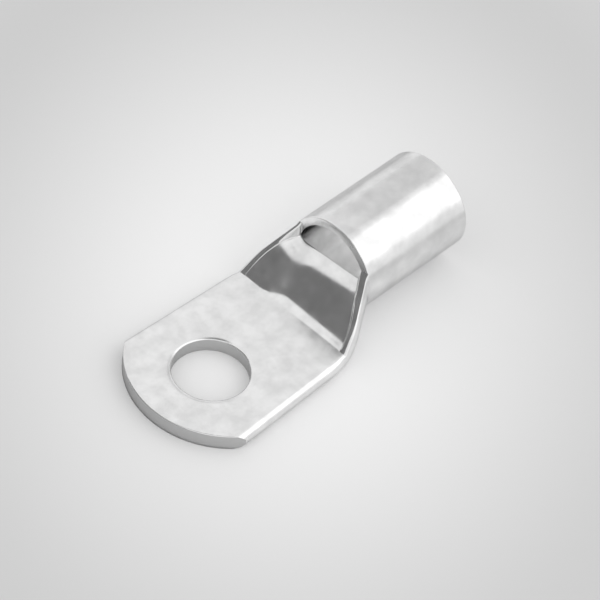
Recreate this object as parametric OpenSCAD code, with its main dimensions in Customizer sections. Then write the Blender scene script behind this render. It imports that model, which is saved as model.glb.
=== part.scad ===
// Tubular cable lug with an inspection window, tin-plated copper.
// One piece: a tube whose front is pressed flat into a palm. The top wall is
// sheared off at the barrel and pushed down as a ramp, which leaves a half-moon
// window, and the side walls stay up as two straight ridges.
// X runs along the tube, from the palm's tip to the mouth, and Z is up.
// The origin is the centre of the stud hole, on the underside.

/* [Barrel] */
// Outer diameter of the barrel
barrel_d = 11.4; // [10:0.1:12.6]
// Thickness of the tube's wall
wall = 1.0; // [0.8:0.05:1.3]
// Length of the barrel, from the window to the mouth
barrel_len = 15; // [8:0.5:30]
// Chamfer inside the mouth, which guides the strands in
mouth_chamfer = 0.4; // [0.1:0.05:0.6]
// Chamfer round the outside of the mouth
mouth_edge = 0.15; // [0.05:0.05:0.2]

/* [Palm] */
// Width of the palm at the corners of its rounded end
palm_w = 18; // [17:0.1:20]
// How much thinner the palm is than two walls laid together
squeeze = 0.1; // [0:0.05:0.3]
// Stud hole centre to the tip of the palm
tip_dist = 8.6; // [7.5:0.1:12]
// Stud hole centre to the crease at the foot of the ramp
crease_dist = 12; // [9:0.1:18]
// How far the rounded end stands out past its corners
end_bulge = 4.9; // [3:0.1:6]
// Angle at which each side edge draws in towards the crease
side_taper = 2.15; // [0:0.05:3]
// Radius of the palm's two corners, seen from above
corner_r = 0.9; // [0.3:0.1:2]

/* [Stud hole] */
// Diameter of the stud hole
stud_d = 8.4; // [5.3:0.1:10.5]
// Width of the rolled-in edge round the top of the stud hole
stud_edge = 1.1; // [0.3:0.1:1.4]
// How deep the rolled-in edge goes
stud_roll = 0.3; // [0.1:0.05:0.5]

/* [Throat] */
// Length of the throat, from the crease to the window
throat_len = 5.4; // [4.6:0.1:9]
// Height of the lip's edge above the axis of the barrel
lip_rise = 0.85; // [0:0.05:1.6]
// Length of the lip, where the ramp bends over at its top
lip_len = 1.7; // [1:0.1:2.2]
// Slope of the lip
lip_slope = 20; // [5:1:30]
// Run of the curve between the palm and the ramp
crease_run = 1.2; // [0.4:0.1:1.6]
// How far up the side of the barrel each ridge starts
ridge_angle = 27; // [15:1:35]
// Width of the flat edge along the top of each ridge
ridge_w = 0.8; // [0.6:0.05:1.3]
// Radius in the corner between the ramp and each ridge
ridge_fillet = 0.15; // [0.1:0.05:0.4]

/* [Hidden] */

barrel_r = barrel_d / 2;
bore_r = barrel_r - wall;
palm_t = 2 * wall - squeeze;
tip_x = -tip_dist;
corner_x = tip_x + end_bulge;
crease_x = crease_dist;
window_x = crease_x + throat_len;
mouth_x = window_x + barrel_len;

shoulder_blend = 1.8;   // palm edge into flare, seen from above
shoulder_run = 1.0;     // the flare would cross the palm's edge this far past the crease
flare_blend = 0.12;     // flare into barrel, seen from above
side_blend = 0.7;       // foot of the side walls
lip_blend = 0.7;        // ramp into lip
knee_run = 1;           // the ramp's underside turns into the lip's over this much
spread_power = 1.2;     // how soon the flat underside widens out
bend_run = 2.4;         // the ridges and the flare fade out over this much of the palm
ridge_batter = 0.15;    // lean of the inner face of each ridge
least_flat = 0.06;      // flat left under the tube at the window
least_step = 0.2;       // the floor stays at least this far below the ridges at its knee
lap = 0.03;             // keeps the pressed throat just inside the barrel's surfaces
past = 1;               // how far a cut or a blank runs past what it trims

station_step = 0.3;     // between the sections of the throat
arc_steps = 12;         // from the underside to the widest point
side_steps = 6;         // from the widest point to the ridge
fillet_steps = 5;       // in the corner beside the ramp
corner_steps = 8;       // round each corner of the palm
end_steps = 48;         // round the palm's end
edge_steps = 6;         // round the rolled-in edge of the stud hole
least_gap = 0.05;       // lowest space that the two walls leave between them
$fn = 96;

function clamp(t) = min(1, max(0, t));
function mix(a, b, t) = a + (b - a) * t;
function ease(t) = let (c = clamp(t)) c * c * (3 - 2 * c);
// Lower or upper of two lines, rounded where they come closer than k
function smooth_min(a, b, k) =
    let (t = clamp(0.5 + 0.5 * (b - a) / k)) mix(b, a, t) - k * t * (1 - t);
function smooth_max(a, b, k) = -smooth_min(-a, -b, k);

// Share of the throat passed at a station x, from the crease to the window
function along(x) = clamp((x - crease_x) / throat_len);

// Half width of the palm, and of the whole pressed part, seen from above
function palm_half(x) = palm_w / 2 - tan(side_taper) * (x - corner_x);
flare_slope = (palm_half(crease_x) - barrel_r) / (throat_len - shoulder_run);
function flare_half(x) =
    smooth_max(barrel_r, barrel_r + flare_slope * (window_x - x) - flare_blend, flare_blend);
function half_w(x) =
    smooth_min(palm_half(x), flare_half(x), max(shoulder_blend * (1 - along(x)), least_gap));

// Height at which the section is widest: mid-thickness in the palm, the axis at the barrel
side_slope = (barrel_r - palm_t / 2) / (throat_len - side_blend);
function side_h(x) = smooth_max(palm_t / 2, barrel_r - side_slope * (window_x - x), side_blend);
// Half width of the flat underside
function flat_half(x) =
    let (down = clamp((barrel_r - side_h(x)) / (barrel_r - palm_t / 2)))
    max(least_flat, (half_w(x) - palm_t / 2) * pow(down, spread_power));

// The ridges rise straight from the crease to the barrel's side
ridge_top = barrel_r * (1 + sin(ridge_angle));
window_inset = barrel_r * (1 - cos(ridge_angle));
function ridge_z(x) = mix(palm_t, ridge_top, along(x));
function ridge_turn(x) = mix(90, ridge_angle, along(x));
function ridge_inset(x) = mix(palm_t / 2, window_inset, ease((x - crease_x) / bend_run + 1));

// Floor of the throat: the palm, then the ramp, then the lip, all below the ridges
lip_z = min(barrel_r + lip_rise, ridge_top - least_step);
knee_x = window_x - lip_len;
knee_z = min(lip_z - tan(lip_slope) * lip_len, ridge_z(knee_x) - least_step);
foot_x = crease_x + crease_run / 2;
ramp_slope = (knee_z - palm_t) / (knee_x - foot_x);
ramp_angle = atan(ramp_slope);
lip_angle = atan((lip_z - knee_z) / lip_len);
function ramp_z(x) = palm_t + ramp_slope * (x - foot_x);
function lip_line(x) = lip_z - tan(lip_angle) * (window_x - x);
function upper_z(x) = smooth_min(ramp_z(x), lip_line(x), lip_blend);
function floor_z(x) = smooth_max(palm_t, upper_z(x), ramp_slope * crease_run / 2);

// Right half of the section at x, as [y, z] from the underside round to the floor
function half_section(x) =
    let (slack = lap * along(x))
    let (w = half_w(x) - slack)
    let (h = side_h(x))
    let (f = flat_half(x))
    let (turn = ridge_turn(x))
    let (inset = ridge_inset(x))
    let (top = ridge_z(x) - slack)
    let (inner = w - inset - ridge_w)
    let (low = floor_z(x))
    let (rise = min(ridge_fillet, top - low))
    concat(
        [for (i = [0:arc_steps])
            let (a = 90 * (i / arc_steps - 1))
            [f + (w - f) * cos(a), h + (h - slack) * sin(a)]],
        [for (i = [1:side_steps])
            let (a = turn * i / side_steps)
            [w - inset * (1 - cos(a)) / (1 - cos(turn)), h + (top - h) * sin(a) / sin(turn)]],
        [[inner, top]],
        [for (i = [0:fillet_steps])
            let (a = 90 * i / fillet_steps)
            [inner - ridge_batter - ridge_fillet * (1 - cos(a)), low + rise * (1 - sin(a))]]
    );

// Right half of the space between the walls at x, from the bottom wall up to the ramp's underside
function floor_angle(x) = mix(ramp_angle, lip_angle, ease(1 / 2 + (x - knee_x) / knee_run));
function space_top(x) = floor_z(x) - wall / cos(floor_angle(x));
function half_space(x) =
    let (slack = lap * along(x))
    let (f = flat_half(x))
    let (ry = half_w(x) - f - wall + slack)
    let (rz = side_h(x) - wall + slack)
    let (stop = asin(clamp((space_top(x) - side_h(x)) / rz + 1) - 1))
    [for (i = [0:arc_steps])
        let (a = mix(-90, stop, i / arc_steps))
        [f + ry * cos(a), side_h(x) + rz * sin(a)]];

// A closed section at x in space, from its right half and the mirror image of it
function ring(x, half) =
    let (n = len(half))
    concat(
        [for (p = half) [x, p[0], p[1]]],
        [for (i = [n - 1:-1:0]) [x, -half[i][0], half[i][1]]]
    );

// Triangles between rings of n points each
function skin(rings, n) = [
    for (s = [0:rings - 2], i = [0:n - 1])
        let (a = s * n + i, b = s * n + (i + 1) % n)
        each [[a, b + n, b], [a, a + n, b + n]]
];

// Triangles that close a ring: strips up to point k, then a fan from it over the ridge beside it
function cap(n, k) =
    let (half = n / 2)
    let (far = n - 1 - k)
    concat(
        [for (i = [0:k - 1]) each [[i, i + 1, n - 2 - i], [i, n - 2 - i, n - 1 - i]]],
        k < half - 1 ? [[k, half - 1, half], [k, half, far]] : [],
        [for (i = [k + 1:1:half - 2]) each [[k, i, i + 1], [n - 2 - i, n - 1 - i, far]]]
    );

module loft(rings, k) {
    n = len(rings[0]);
    last = (len(rings) - 1) * n;
    ends = cap(n, k);
    polyhedron(
        points = [for (r = rings) each r],
        faces = concat(
            skin(len(rings), n),
            ends,
            [for (t = ends) [last + t[2], last + t[1], last + t[0]]]
        )
    );
}

function stations_between(a, b) =
    let (n = ceil((b - a) / station_step))
    [for (i = [1:n]) mix(a, b, i / n)];
stations = concat(
    [crease_x - bend_run],
    stations_between(crease_x - bend_run, crease_x),
    stations_between(crease_x, window_x)
);

// The pressed front of the tube, as if it ran on straight past the tip
module pressed_blank() {
    loft([for (x = concat([tip_x - past], stations)) ring(x, half_section(x))], arc_steps);
}

// What is left between the two walls, under the ramp and the lip
module inner_space() {
    open = [for (x = stations) if (min(space_top(x), side_h(x)) > wall + least_gap) x];
    rings = [for (x = open) ring(x, half_space(x))];
    mouth = [for (p = ring(window_x, half_space(window_x))) p + [past, 0, 0]];
    loft(concat(rings, [mouth]), arc_steps);
}

// Seen from above, the rounded end is one arc, and a small arc rounds each corner
end_r = (pow(palm_w / 2, 2) + pow(end_bulge, 2)) / (2 * end_bulge);
end_centre = [tip_x + end_r, 0];
edge_normal = [sin(side_taper), cos(side_taper)];
edge_dir = [cos(side_taper), -sin(side_taper)];
edge_reach = edge_normal * [corner_x, palm_w / 2] - corner_r - edge_normal * end_centre;
corner_centre = end_centre + edge_reach * edge_normal
    - sqrt(pow(end_r - corner_r, 2) - pow(edge_reach, 2)) * edge_dir;
to_corner = corner_centre - end_centre;
corner_angle = atan2(to_corner[1], to_corner[0]);

function arc(centre, r, from, to, steps) =
    [for (i = [0:steps]) let (a = mix(from, to, i / steps)) centre + r * [cos(a), sin(a)]];

module end_trim() {
    side = arc(corner_centre, corner_r, 90 - side_taper, corner_angle, corner_steps);
    front = arc(end_centre, end_r, corner_angle, 360 - corner_angle, end_steps);
    back = [mouth_x, palm_w];
    half = concat([back, [side[0][0], palm_w]], [for (p = side) p]);
    mirrored = [for (i = [len(half) - 1:-1:0]) [half[i][0], -half[i][1]]];
    inner_front = [for (i = [1:end_steps - 1]) front[i]];
    translate([0, 0, -past])
        linear_extrude(barrel_d + 2 * past)
            polygon(concat(half, inner_front, mirrored));
}

// Stud hole with the top edge rolled in by the punch
module stud_hole() {
    r = stud_d / 2;
    rim = [for (i = [0:edge_steps])
        let (a = 180 - 90 * i / edge_steps)
        [r + stud_edge * (1 + cos(a)), palm_t - stud_roll * (1 - sin(a))]];
    top = palm_t + past;
    rotate_extrude()
        polygon(concat([[0, -past], [r, -past]], rim, [[r + stud_edge, top], [0, top]]));
}

// The round barrel, cut off square at the window and at the mouth
module barrel() {
    translate([window_x, 0, barrel_r])
        rotate([0, 90, 0])
            rotate_extrude()
                polygon([
                    [bore_r, 0],
                    [barrel_r, 0],
                    [barrel_r, barrel_len - mouth_edge],
                    [barrel_r - mouth_edge, barrel_len],
                    [bore_r + mouth_chamfer, barrel_len],
                    [bore_r, barrel_len - mouth_chamfer]
                ]);
}

module lug() {
    color("silver") {
        barrel();
        difference() {
            intersection() {
                pressed_blank();
                end_trim();
            }
            inner_space();
            stud_hole();
        }
    }
}

lug();
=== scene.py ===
"""Tin-plated copper cable lug on a pale floor, under soft studio light.

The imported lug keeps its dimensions. One finer piece stands for it here: the same
sections and cuts, pressed a little off square, with the small rounds that shearing and
plating leave on the edges.
Lengths are in millimetres until a mesh is made.
"""
import math

import bmesh
import bpy
from mathutils import Euler, Matrix, Vector

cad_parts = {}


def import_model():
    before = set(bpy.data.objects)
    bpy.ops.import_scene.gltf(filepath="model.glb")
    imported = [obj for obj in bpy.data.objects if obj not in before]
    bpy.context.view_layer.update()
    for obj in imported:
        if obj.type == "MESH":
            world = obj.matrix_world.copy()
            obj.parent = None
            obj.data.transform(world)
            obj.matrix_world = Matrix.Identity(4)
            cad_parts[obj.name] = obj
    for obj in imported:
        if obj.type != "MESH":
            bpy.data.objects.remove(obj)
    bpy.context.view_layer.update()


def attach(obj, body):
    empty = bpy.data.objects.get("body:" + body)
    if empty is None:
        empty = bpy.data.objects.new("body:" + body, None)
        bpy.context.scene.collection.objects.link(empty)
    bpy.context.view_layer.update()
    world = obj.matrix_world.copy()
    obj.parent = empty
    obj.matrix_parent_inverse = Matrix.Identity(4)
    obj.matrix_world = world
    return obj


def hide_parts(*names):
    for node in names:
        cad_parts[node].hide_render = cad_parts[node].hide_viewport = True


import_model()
MM = 0.001

# Driving dimensions, as in the part's source, but for a lip that is 3 degrees steeper
BARREL_R = 5.7
WALL = 1.0
SQUEEZE = 0.1
BARREL_LEN = 15.0
MOUTH_CHAMFER = 0.4
PALM_W = 18.0
PALM_T = 2 * WALL - SQUEEZE
TIP_X = -8.6
CREASE_X = 12.0
END_BULGE = 4.9
SIDE_TAPER = math.radians(2.15)
CORNER_R = 0.9
STUD_R = 4.2
STUD_EDGE = 1.1
STUD_ROLL = 0.3
THROAT_LEN = 5.4
LIP_RISE = 0.85
LIP_LEN = 1.7
LIP_SLOPE = math.radians(23)
RIDGE_ANGLE = math.radians(27)
RIDGE_FILLET = 0.15

BORE_R = BARREL_R - WALL
CORNER_X = TIP_X + END_BULGE
WINDOW_X = CREASE_X + THROAT_LEN
MOUTH_X = WINDOW_X + BARREL_LEN
SHOULDER_BLEND = 1.8
SHOULDER_RUN = 1.0
FLARE_BLEND = 0.12
SIDE_BLEND = 0.7
LIP_BLEND = 0.7
SPREAD_POWER = 1.2
BEND_RUN = 2.4
KNEE_RUN = 1.0
RIDGE_BATTER = 0.15
LEAST_GAP = 0.05
PAST = 1.0

# The press never lands quite square: +Y is the lug's left, seen from its tip
RIDGE_W = {1: (0.35, 0.35), -1: (0.3, 0.92)}     # left and right ridge, from crease to window
LIP_TILT = 0.09         # how much the lip drops for each millimetre to the left
KNEE_SKEW = 0.03        # and how much longer it gets
LIP_CURL = (3.2, 4.6)   # it curls up between these places at the left
LIP_CURL_RATE = 0.22    # and rises by this times the square of the way into them
LIP_CURL_BLEND = 0.5    # how softly the curl ends
LEFT_FLUSH = 0.55       # how nearly the knee's left end comes level with its ridge, 1 for fully
FOOT_RUN = 1.5          # curve at the foot of the ramp, which the left end hardly has
FOOT_RUN_LEFT = 0.06
FOOT_FADE = (1.2, 4.2)  # between these places the form goes over to that of the left end

# Small rounds on the edges
RIM_ROUND = 0.14        # outer edge of the barrel at the window
MOUTH_ROUND = 0.15      # outer edge of the mouth
LIP_ROUND = 0.12        # edge of the lip
RIDGE_ROUND = {1: 0.3, -1: 0.07}    # edges of the strip along each ridge
END_ROUND = 0.14        # upper edge of the palm's end
BURR_ROUND = 0.06       # lower edges of the palm's end and of the stud hole
RIM_FADE = 0.05         # rise in the angle's sine over which the rim's round starts
INNER_SHARE = 0.4       # share of the wall beside the ramp that its upper round may take
LEAST_WALL = 0.02       # for that share, the least height of the wall

# Fineness of the mesh
STATION_STEP = 0.1
HALF_ARC = 24
SIDE_ARC = 12
EDGE_ARC = 4
FILLET_ARC = 8
FLOOR_STEPS = 16
TOP_ARC = 36
CORNER_ARC = 12
END_ARC = 96
HOLE_ARC = 160
LIP_STATIONS = (0.25, 0.5, 0.75, 0.9)   # shares of the round on the lip's edge
SHARP_ANGLE = math.radians(32)
NORMAL_WEIGHT = 50      # neutral: faces count by their area
MERGE = 1e-7            # metres

# Which way a cut face looks
UPRIGHT = 0.6           # most that the normal of the palm's end rises
HOLE_UPRIGHT = 0.3      # the same for the stud hole's wall
END_FACING = 0.3        # least that the normal of the palm's end looks along -X
SQUARE_FACING = 0.9     # least that those of the mouth and the window's rim look along X

# Plating and cut faces: linear greys and roughness; the cut faces' darker grey is painted shade,
# and the edge tint paints a dark outline
MOTTLE = (500, 3)       # scale and detail of the noise
MOTTLE_RANGE = (0.35, 0.65)         # where the noise reaches the two ends of the grey
PLATED_GREY = (0.775, 0.905)
STREAKS = (900, 2, (0.12, 1, 1))    # scale, detail and stretch of the noise
STREAK_RANGE = (0.3, 0.7)           # where it reaches the two ends of the roughness
PLATED_ROUGH = (0.15, 0.24)
# painted shade: the darker grey of the cut faces and of the window's rim toward its right end
CUT_SHADE_GREY = 0.56
CUT_ROUGH = 0.45
# painted dark outline: a grey edge tint that darkens the metal's reflections at grazing angles
OUTLINE_SHADE_TINT = 0.7
BUMP = (0.08, 0.00005)  # strength, and height in metres

# Paper, cards and surroundings: linear greys and roughness
FLOOR_GREY = 0.9
# painted light round the lug and painted shade in a ring further out, on the pale floor
FLOOR_LIGHT_TONES = ((0, 1), (0.125, 0.95), (0.25, 0.81), (0.375, 0.69), (0.5, 0.6), (0.7, 0.78),
               (1, 0.88))           # share of the floor's reach, and the grey there
DARK_CARD = 0.2
PALE_CARD = 0.95
WORLD_GREY = 0.9
MATT_ROUGH = 0.9
MATT_SPECULAR = 0.1
WATTS = 4               # of an area light, for each square metre and unit of radiance

# Stage, in metres
FLOOR_HALF = 1.5
FLOOR_DROP = 0.00002
FLOOR_LIGHT_CENTRE = (0.0155, 0.003, 0)
FLOOR_LIGHT_TURN = math.radians(38)
FLOOR_LIGHT_REACH = (0.1226, 0.09, 1)     # half axes of the oval over which the floor's painted light and shade change
AIM = Vector((0.012, 0, 0.005))             # what the light and the dark card face
CAMERA_TURN = (-0.5156, 0.5641, 0.6034)     # radians, from the lug's axes to the camera's
CAMERA_SHIFT = (-9.430, -8.405, -430.2)     # the lug's origin in the camera's axes, millimetres
CAMERA_CLIP = (0.01, 10)
SENSOR = 36             # millimetres
LENS = 247.3            # millimetres


# ---------------------------------------------------------------- section formulas

def clamp(t):
    return min(1.0, max(0.0, t))


def mix(a, b, t):
    return a + (b - a) * t


def ease(t):
    c = clamp(t)
    return c * c * (3 - 2 * c)


def smooth_min(a, b, k):
    t = clamp(0.5 + 0.5 * (b - a) / k)
    return mix(b, a, t) - k * t * (1 - t)


def smooth_max(a, b, k):
    return -smooth_min(-a, -b, k)


def spread(count, start=0.0, end=1.0):
    """count + 1 values from start to end."""
    return [mix(start, end, i / count) for i in range(count + 1)]


def along(x):
    return clamp((x - CREASE_X) / THROAT_LEN)


def palm_half(x):
    return PALM_W / 2 - math.tan(SIDE_TAPER) * (x - CORNER_X)


FLARE_SLOPE = (palm_half(CREASE_X) - BARREL_R) / (THROAT_LEN - SHOULDER_RUN)
SIDE_SLOPE = (BARREL_R - PALM_T / 2) / (THROAT_LEN - SIDE_BLEND)
RIDGE_TOP = BARREL_R * (1 + math.sin(RIDGE_ANGLE))
WINDOW_INSET = BARREL_R * (1 - math.cos(RIDGE_ANGLE))


def half_w(x):
    reach = BARREL_R + FLARE_SLOPE * (WINDOW_X - x)
    flare = smooth_max(BARREL_R, reach - FLARE_BLEND, FLARE_BLEND)
    return smooth_min(palm_half(x), flare, max(SHOULDER_BLEND * (1 - along(x)), LEAST_GAP))


def side_h(x):
    return smooth_max(PALM_T / 2, BARREL_R - SIDE_SLOPE * (WINDOW_X - x), SIDE_BLEND)


def flat_half(x):
    down = clamp((BARREL_R - side_h(x)) / (BARREL_R - PALM_T / 2))
    return (half_w(x) - PALM_T / 2) * down ** SPREAD_POWER


def left_share(y):
    """0 over the middle and the right of the throat, 1 beside its left ridge."""
    return ease((y - FOOT_FADE[0]) / (FOOT_FADE[1] - FOOT_FADE[0]))


def lip(y):
    """Length, height of the edge, and slope of the lip at y."""
    y = smooth_min(y, LIP_CURL[1], LIP_CURL_BLEND)
    length = LIP_LEN + KNEE_SKEW * y
    curl = LIP_CURL_RATE * max(y - LIP_CURL[0], 0) ** 2
    edge = BARREL_R + LIP_RISE - LIP_TILT * y + curl
    level = (edge - RIDGE_TOP) / length + (RIDGE_TOP - PALM_T) / THROAT_LEN
    return length, edge, mix(math.tan(LIP_SLOPE), level, LEFT_FLUSH * left_share(y))


def lip_z(x, y):
    length, edge, slope = lip(y)
    return edge - slope * (WINDOW_X - x)


def knee(y):
    """Where the ramp ends and the lip begins."""
    x = WINDOW_X - lip(y)[0]
    return x, lip_z(x, y)


def foot_run(y):
    return mix(FOOT_RUN, FOOT_RUN_LEFT, left_share(y))


def ramp_slope(y):
    knee_x, knee_z = knee(y)
    return (knee_z - PALM_T) / (knee_x - CREASE_X - foot_run(y) / 2)


def floor_z(x, y):
    """Floor of the throat: palm, ramp and lip."""
    run, slope = foot_run(y), ramp_slope(y)
    ramp = PALM_T + slope * (x - CREASE_X - run / 2)
    return smooth_max(PALM_T, smooth_min(ramp, lip_z(x, y), LIP_BLEND), slope * run / 2)


def lip_drop(x):
    """How far the round on the lip's edge has dropped at x."""
    t = clamp((x - WINDOW_X + LIP_ROUND) / LIP_ROUND)
    return LIP_ROUND * (1 - math.sqrt(1 - t * t))


def space_top(x, y):
    angle = mix(math.atan(ramp_slope(y)), LIP_SLOPE, ease(0.5 + (x - knee(y)[0]) / KNEE_RUN))
    return floor_z(x, y) - WALL / math.cos(angle)


def rounded(before, corner, after, reach):
    """A small curve in place of a corner between two neighbours."""
    def towards(p):
        d = Vector(p) - Vector(corner)
        return Vector(corner) + d * min(reach / max(d.length, reach), 0.5)
    a, c, b = towards(before), Vector(corner), towards(after)
    return [tuple(a * (1 - t) ** 2 + c * 2 * t * (1 - t) + b * t * t) for t in spread(EDGE_ARC)]


def half_section(x, hand):
    """Half of the outer section at x, from the underside round to the floor's middle.
    hand is 1 for the left half and -1 for the right one."""
    w, h, f = half_w(x), side_h(x), flat_half(x)
    turn = mix(math.pi / 2, RIDGE_ANGLE, along(x))
    inset = mix(PALM_T / 2, WINDOW_INSET, ease((x - CREASE_X) / BEND_RUN + 1))
    top = mix(PALM_T, RIDGE_TOP, along(x))
    inner = w - inset - mix(*RIDGE_W[hand], along(x))
    foot = inner - RIDGE_BATTER

    def low(y):
        return min(floor_z(x, hand * y), top) - lip_drop(x)
    rise = min(RIDGE_FILLET, top - low(foot))
    under = [(f + (w - f) * math.cos(a), h + h * math.sin(a))
             for a in spread(HALF_ARC, -math.pi / 2, 0)]
    side = [(w - inset * (1 - math.cos(a)) / (1 - math.cos(turn)),
             h + (top - h) * math.sin(a) / math.sin(turn)) for a in spread(SIDE_ARC, 0, turn)]
    fillet = [(foot - RIDGE_FILLET * (1 - math.cos(a)), low(foot) + rise * (1 - math.sin(a)))
              for a in spread(FILLET_ARC, 0, math.pi / 2)]
    reach = min(RIDGE_ROUND[hand], INNER_SHARE * max(top - low(foot), LEAST_WALL))
    outer_edge = rounded(side[-2], side[-1], (inner, top), RIDGE_ROUND[hand])
    inner_edge = rounded(side[-1], (inner, top), fillet[0], reach)
    last = fillet[-1][0]
    floor = [(last * (1 - t), low(last * (1 - t))) for t in spread(FLOOR_STEPS)][1:]
    if hand < 0:
        floor.pop()
    points = under + side[1:-1] + outer_edge + inner_edge + fillet + floor
    return [(x, hand * y, z) for y, z in points]


def half_space(x, hand):
    f = flat_half(x)
    ry, rz = half_w(x) - f - WALL, side_h(x) - WALL
    top = space_top(x, hand * ry)
    stop = math.asin(clamp((top - side_h(x)) / rz + 1) - 1)
    return [(x, hand * (f + ry * math.cos(a)), side_h(x) + rz * math.sin(a))
            for a in spread(HALF_ARC, -math.pi / 2, stop)]


# ---------------------------------------------------------------- meshes

def solid(name, rings, caps=True):
    """Closed mesh through rings of points, given in millimetres."""
    bm = bmesh.new()
    loops = [[bm.verts.new(Vector(p) * MM) for p in ring] for ring in rings]
    n = len(loops[0])
    pairs = list(zip(loops, loops[1:])) if caps else list(zip(loops, loops[1:] + loops[:1]))
    for a, b in pairs:
        for i in range(n):
            bm.faces.new((a[i], a[(i + 1) % n], b[(i + 1) % n], b[i]))
    if caps:
        bm.faces.new(loops[0])
        bm.faces.new(loops[-1])
    bmesh.ops.remove_doubles(bm, verts=bm.verts, dist=MERGE)
    bmesh.ops.recalc_face_normals(bm, faces=bm.faces)
    mesh = bpy.data.meshes.new(name)
    bm.to_mesh(mesh)
    bm.free()
    obj = bpy.data.objects.new(name, mesh)
    bpy.context.scene.collection.objects.link(obj)
    return obj


def ring(x, half):
    """Closed section at x, from its left half and its right one."""
    return half(x, 1) + half(x, -1)[::-1]


def combine(obj, other, operation):
    """Boolean of two solids, in place. The second one goes."""
    mod = obj.modifiers.new("cut", "BOOLEAN")
    mod.operation = operation
    mod.solver = "MANIFOLD"
    mod.object = other
    depsgraph = bpy.context.evaluated_depsgraph_get()
    mesh = bpy.data.meshes.new_from_object(obj.evaluated_get(depsgraph))
    obj.modifiers.clear()
    obj.data = mesh
    bpy.data.objects.remove(other)


def pressed_blank():
    count = math.ceil((BEND_RUN + THROAT_LEN) / STATION_STEP)
    fine = [WINDOW_X - LIP_ROUND * (1 - t) for t in LIP_STATIONS]
    stations = [TIP_X - PAST] + spread(count, CREASE_X - BEND_RUN, WINDOW_X) + fine
    return solid("blank", [ring(x, half_section) for x in sorted(stations)])


def inner_space():
    count = math.ceil(THROAT_LEN / STATION_STEP)
    stations = spread(count, CREASE_X, WINDOW_X)
    hollow = [x for x in stations if min(space_top(x, 0), side_h(x)) > WALL + LEAST_GAP]
    rings = [ring(x, half_space) for x in hollow]
    rings.append([(x + PAST, y, z) for x, y, z in rings[-1]])
    return solid("space", rings)


def end_outline():
    """Outline of the palm's rounded end, from the left side round to the right one."""
    r = ((PALM_W / 2) ** 2 + END_BULGE ** 2) / (2 * END_BULGE)
    centre = Vector((TIP_X + r, 0))
    normal = Vector((math.sin(SIDE_TAPER), math.cos(SIDE_TAPER)))
    direction = Vector((normal.y, -normal.x))
    reach = normal.dot(Vector((CORNER_X, PALM_W / 2))) - CORNER_R - normal.dot(centre)
    corner = centre + normal * reach
    corner -= direction * math.sqrt((r - CORNER_R) ** 2 - reach ** 2)
    turn = math.atan2(corner.y, corner.x - centre.x)
    start = math.pi / 2 - SIDE_TAPER

    def arc(c, radius, a):
        return (c.x + radius * math.cos(a), c.y + radius * math.sin(a))
    side = [arc(corner, CORNER_R, a) for a in spread(CORNER_ARC, start, turn)]
    front = [arc(centre, r, a) for a in spread(END_ARC, turn, 2 * math.pi - turn)]
    return side + front[1:-1] + [(x, -y) for x, y in reversed(side)]


def end_trim():
    """Everything behind the palm's end, with a round on each edge of the cut."""
    outline = end_outline()
    centre = Vector((CREASE_X, 0))

    def level(z, inset):
        points = []
        for i, p in enumerate(outline):
            before = Vector(outline[max(i - 1, 0)])
            after = Vector(outline[min(i + 1, len(outline) - 1)])
            tangent = (after - before).normalized()
            inward = Vector((-tangent.y, tangent.x))
            if inward.dot(centre - Vector(p)) < 0:
                inward = -inward
            q = Vector(p) + inward * inset
            points.append((q.x, q.y, z))
        first, last = points[0], points[-1]
        sides = [(last[0], -PALM_W, z), (MOUTH_X, -PALM_W, z), (MOUTH_X, PALM_W, z),
                 (first[0], PALM_W, z)]
        return points + sides

    lower = [(BURR_ROUND * (1 - math.sin(a)), BURR_ROUND * (1 - math.cos(a)))
             for a in spread(EDGE_ARC, 0, math.pi / 2)]
    upper = [(PALM_T - END_ROUND * (1 - math.sin(a)), END_ROUND * (1 - math.cos(a)))
             for a in spread(2 * EDGE_ARC, 0, math.pi / 2)]
    rings = [level(-PAST, BURR_ROUND)] + [level(z, d) for z, d in lower]
    rings += [level(z, d) for z, d in upper] + [level(2 * BARREL_R + PAST, END_ROUND)]
    return solid("trim", rings)


def lathe(profile, count):
    """Rings of a profile of (radius, height), about Z, one ring for each point."""
    turns = [2 * math.pi * i / count for i in range(count)]
    return [[(r * math.cos(a), r * math.sin(a), z) for a in turns] for r, z in profile]


def stud_hole():
    edge = [(STUD_R + STUD_EDGE * (1 - math.cos(a)), PALM_T - STUD_ROLL * (1 - math.sin(a)))
            for a in spread(4 * EDGE_ARC, 0, math.pi / 2)]
    burr = [(STUD_R + BURR_ROUND * (1 - math.sin(a)), BURR_ROUND * (1 - math.cos(a)))
            for a in spread(EDGE_ARC, 0, math.pi / 2)]
    profile = [(STUD_R + BURR_ROUND, -PAST)] + burr + edge
    profile.append((STUD_R + STUD_EDGE, PALM_T + PAST))
    return solid("hole", lathe(profile, HOLE_ARC))


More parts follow.
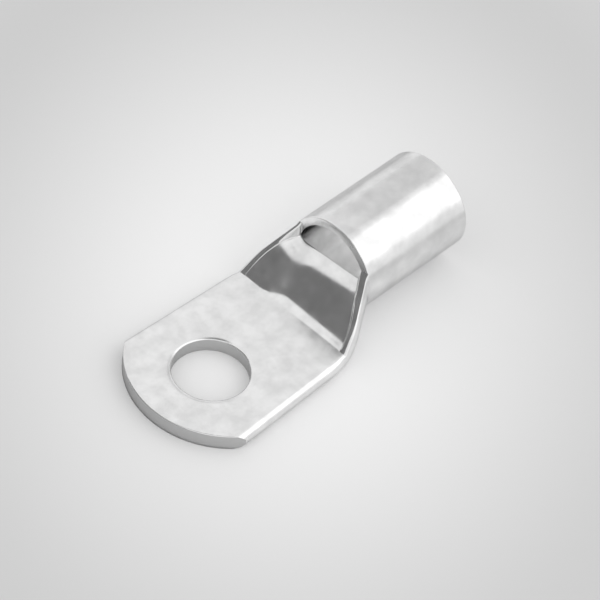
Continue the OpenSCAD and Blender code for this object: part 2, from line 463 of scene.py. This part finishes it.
def barrel():
    """The round tube. Its angles are those of the pressed section, so the two meet."""
    low = spread(HALF_ARC, -math.pi / 2, 0) + spread(SIDE_ARC, 0, RIDGE_ANGLE)[1:]
    right = low + spread(TOP_ARC, RIDGE_ANGLE, math.pi - RIDGE_ANGLE)[1:]
    angles = right + [math.pi - a for a in reversed(low[:-1])][:-1]
    quarter = spread(EDGE_ARC, 0, math.pi / 2)
    window = [(WINDOW_X + RIM_ROUND * (1 - math.cos(a)), RIM_ROUND * (1 - math.sin(a)), True)
              for a in quarter]
    mouth = [(MOUTH_X - MOUTH_ROUND * (1 - math.sin(a)), MOUTH_ROUND * (1 - math.cos(a)), False)
             for a in quarter]
    rings = []
    for x, drop, at_window in window + mouth:
        circle = []
        for a in angles:
            above = (math.sin(a) - math.sin(RIDGE_ANGLE)) / RIM_FADE
            r = BARREL_R - drop * (ease(above) if at_window else 1)
            circle.append((x, r * math.cos(a), BARREL_R + r * math.sin(a)))
        rings.append(circle)
    inside = [(MOUTH_X, BORE_R + MOUTH_CHAMFER), (MOUTH_X - MOUTH_CHAMFER, BORE_R),
              (WINDOW_X, BORE_R)]
    for x, r in inside:
        rings.append([(x, r * math.cos(a), BARREL_R + r * math.sin(a)) for a in angles])
    return solid("barrel", rings, caps=False)


def lug():
    piece = pressed_blank()
    combine(piece, end_trim(), "INTERSECT")
    combine(piece, stud_hole(), "DIFFERENCE")
    combine(piece, inner_space(), "DIFFERENCE")
    combine(piece, barrel(), "UNION")
    piece.name = "lug_tinned"
    piece.data.name = "lug_tinned"
    return piece


def mark_cuts_and_shade(mesh):
    """Marks the faces that a punch or saw has cut: 1 there and 0 elsewhere. The material gives
    them a rougher finish and a darker grey that is painted shade.
    Those at the window go from 0 at the middle to 1 at the right end, painted shade on the right
    part of the rim."""
    cut = mesh.attributes.new("cut", "FLOAT", "FACE")
    for face in mesh.polygons:
        x, y = face.center.x / MM, face.center.y / MM
        n = face.normal
        hole = abs(n.z) < HOLE_UPRIGHT and math.hypot(x, y) < STUD_R + LEAST_GAP
        end = abs(n.z) < UPRIGHT and x < CORNER_X + CORNER_R and n.x < -END_FACING
        mouth = abs(x - MOUTH_X) < LEAST_GAP and n.x > SQUARE_FACING
        window = abs(x - WINDOW_X) < LEAST_GAP and abs(n.x) > SQUARE_FACING
        # painted shade: the window's rim is marked more strongly toward its right end, where it
        # lies in shade
        right_shade = ease(-y / BARREL_R) if window else 0
        cut.data[face.index].value = max(float(hole or end or mouth), right_shade)


def shade(piece):
    """Smooth shading that stays flat on flats and breaks at sharp edges."""
    mesh = piece.data
    mesh.shade_smooth()
    mesh.set_sharp_from_angle(angle=SHARP_ANGLE)
    mod = piece.modifiers.new("normals", "WEIGHTED_NORMAL")
    mod.keep_sharp = True
    mod.weight = NORMAL_WEIGHT


# ---------------------------------------------------------------- materials

def grey(value):
    return (value, value, value, 1)


def tinned_metal():
    mat = bpy.data.materials.new("tinned_copper")
    mat.use_nodes = True
    nodes, links = mat.node_tree.nodes, mat.node_tree.links
    nodes.clear()
    out = nodes.new("ShaderNodeOutputMaterial")
    bsdf = nodes.new("ShaderNodeBsdfPrincipled")
    links.new(bsdf.outputs[0], out.inputs[0])
    bsdf.inputs["Metallic"].default_value = 1.0
    # painted dark outline: the grey edge tint darkens reflections at grazing angles
    bsdf.inputs["Specular Tint"].default_value = grey(OUTLINE_SHADE_TINT)
    coord = nodes.new("ShaderNodeTexCoord")

    def noise(scale, detail, stretch=(1, 1, 1)):
        mapping = nodes.new("ShaderNodeMapping")
        mapping.inputs["Scale"].default_value = stretch
        links.new(coord.outputs["Object"], mapping.inputs["Vector"])
        n = nodes.new("ShaderNodeTexNoise")
        n.inputs["Scale"].default_value = scale
        n.inputs["Detail"].default_value = detail
        links.new(mapping.outputs[0], n.inputs["Vector"])
        return n.outputs[0]

    def share(value, low, high):
        """How far the value has come from low to high, from 0 to 1."""
        m = nodes.new("ShaderNodeMapRange")
        m.inputs["From Min"].default_value = low
        m.inputs["From Max"].default_value = high
        links.new(value, m.inputs["Value"])
        return m.outputs[0]

    mottle = noise(*MOTTLE)
    streak = noise(*STREAKS)
    cut = nodes.new("ShaderNodeAttribute")
    cut.attribute_name = "cut"

    def blend(factor, a, b):
        m = nodes.new("ShaderNodeMix")
        m.data_type = "RGBA"
        links.new(factor, m.inputs["Factor"])
        for key, value in (("A", a), ("B", b)):
            if isinstance(value, float):
                m.inputs[key].default_value = grey(value)
            else:
                links.new(value, m.inputs[key])
        return m.outputs["Result"]

    plated = blend(share(mottle, *MOTTLE_RANGE), *PLATED_GREY)
    # painted shade: the cut faces, and the right part of the window's rim, take the darker grey
    links.new(blend(cut.outputs["Fac"], plated, CUT_SHADE_GREY), bsdf.inputs["Base Color"])
    rough = blend(share(streak, *STREAK_RANGE), *PLATED_ROUGH)
    links.new(blend(cut.outputs["Fac"], rough, CUT_ROUGH), bsdf.inputs["Roughness"])
    bump = nodes.new("ShaderNodeBump")
    bump.inputs["Strength"].default_value, bump.inputs["Distance"].default_value = BUMP
    links.new(mottle, bump.inputs["Height"])
    links.new(bump.outputs[0], bsdf.inputs["Normal"])
    return mat


def matt(name, tone):
    mat = bpy.data.materials.new(name)
    mat.use_nodes = True
    bsdf = mat.node_tree.nodes["Principled BSDF"]
    bsdf.inputs["Base Color"].default_value = grey(tone)
    bsdf.inputs["Roughness"].default_value = MATT_ROUGH
    bsdf.inputs["Specular IOR Level"].default_value = MATT_SPECULAR
    return mat


def floor_with_painted_light():
    """Pale paper with painted light round the lug, painted shade in a ring further out, and a
    lighter grey again far from it.
    """
    mat = matt("floor_with_painted_light", FLOOR_GREY)
    nodes, links = mat.node_tree.nodes, mat.node_tree.links
    coord = nodes.new("ShaderNodeTexCoord")
    mapping = nodes.new("ShaderNodeMapping")
    mapping.vector_type = "TEXTURE"
    mapping.inputs["Location"].default_value = FLOOR_LIGHT_CENTRE
    mapping.inputs["Rotation"].default_value = (0, 0, FLOOR_LIGHT_TURN)
    mapping.inputs["Scale"].default_value = FLOOR_LIGHT_REACH
    length = nodes.new("ShaderNodeVectorMath")
    length.operation = "LENGTH"
    # painted light and shade on the floor, by distance from the lug
    ramp = nodes.new("ShaderNodeValToRGB")
    ramp.color_ramp.interpolation = "B_SPLINE"
    for i, (at, tone) in enumerate(FLOOR_LIGHT_TONES):
        element = ramp.color_ramp.elements[i] if i < 2 else ramp.color_ramp.elements.new(at)
        element.position = at
        element.color = grey(tone)
    links.new(coord.outputs["Object"], mapping.inputs["Vector"])
    links.new(mapping.outputs[0], length.inputs[0])
    links.new(length.outputs["Value"], ramp.inputs[0])
    links.new(ramp.outputs["Color"], nodes["Principled BSDF"].inputs["Base Color"])
    return mat


# ---------------------------------------------------------------- stage

def camera():
    """The view down onto the palm's right front, from 43 cm away."""
    turn = Euler(CAMERA_TURN, "XYZ").to_matrix()
    shift = Vector(CAMERA_SHIFT) * MM
    data = bpy.data.cameras.new("camera")
    obj = bpy.data.objects.new("camera", data)
    obj.matrix_world = Matrix.Translation(turn.transposed() @ -shift) @ turn.transposed().to_4x4()
    data.sensor_width = SENSOR
    data.lens = LENS
    data.clip_start, data.clip_end = CAMERA_CLIP
    bpy.context.scene.collection.objects.link(obj)
    bpy.context.scene.camera = obj


def placed(name, data, direction, distance):
    """An object that looks at the lug from that direction, and that the camera doesn't see."""
    obj = bpy.data.objects.new(name, data)
    d = Vector(direction).normalized()
    obj.location = AIM + d * distance
    obj.rotation_euler = d.to_track_quat("Z", "Y").to_euler()
    obj.visible_camera = False
    bpy.context.scene.collection.objects.link(obj)
    return obj


def panel(name, direction, distance, size, radiance):
    """A soft light of that radiance."""
    data = bpy.data.lights.new(name, "AREA")
    data.shape = "RECTANGLE"
    data.size, data.size_y = size
    data.energy = radiance * WATTS * size[0] * size[1]
    return placed(name, data, direction, distance)


def sheet(name, corners, mat):
    mesh = bpy.data.meshes.new(name)
    mesh.from_pydata(corners, [], [(0, 1, 2, 3)])
    mesh.materials.append(mat)
    return mesh


def rectangle(w, h):
    """Corners of a rectangle, from its half width and half height."""
    return [(-w, -h, 0), (w, -h, 0), (w, h, 0), (-w, h, 0)]


def as_card(obj):
    """Leaves the object to be seen in the metal only, as a photographer's card is."""
    obj.visible_camera = False
    obj.visible_diffuse = False
    obj.visible_shadow = False


def card(name, direction, distance, size, mat):
    """A card that faces the lug from that direction."""
    mesh = sheet(name, rectangle(size[0] / 2, size[1] / 2), mat)
    as_card(placed(name, mesh, direction, distance))


def overhead(name, outline, height, mat):
    """A card level above the lug, of that outline in millimetres."""
    mesh = sheet(name, [Vector((x, y, height)) * MM for x, y in outline], mat)
    obj = bpy.data.objects.new(name, mesh)
    bpy.context.scene.collection.objects.link(obj)
    as_card(obj)


def floor():
    mesh = sheet("floor", rectangle(FLOOR_HALF, FLOOR_HALF), floor_with_painted_light())
    obj = bpy.data.objects.new("floor", mesh)
    obj.location.z = -FLOOR_DROP
    bpy.context.scene.collection.objects.link(obj)


def world():
    w = bpy.data.worlds.new("studio")
    w.use_nodes = True
    background = w.node_tree.nodes["Background"]
    background.inputs["Color"].default_value = grey(WORLD_GREY)
    background.inputs["Strength"].default_value = 1
    bpy.context.scene.world = w


def lights():
    panel("key", direction=(0.3, -0.72, 0.65), distance=0.45, size=(0.62, 0.44), radiance=0.3)
    dark = matt("dark_card", DARK_CARD)
    card("dark_card", direction=(-0.87, 0.42, 0.28), distance=0.25, size=(0.34, 0.22), mat=dark)
    overhead("top_card", outline=((-10, -9), (6, -9), (6, 8.5), (-10, 8.5)), height=40, mat=dark)
    pale = matt("grey_card", PALE_CARD)
    overhead("side_card", outline=((38, -2), (75, -2), (98, 90), (64, 90)), height=45, mat=pale)


piece = lug()
mark_cuts_and_shade(piece.data)
shade(piece)
piece.data.materials.clear()
piece.data.materials.append(tinned_metal())
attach(piece, "root")
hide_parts("lug")
floor()
world()
lights()
camera()
bpy.context.scene.view_settings.view_transform = "Standard"
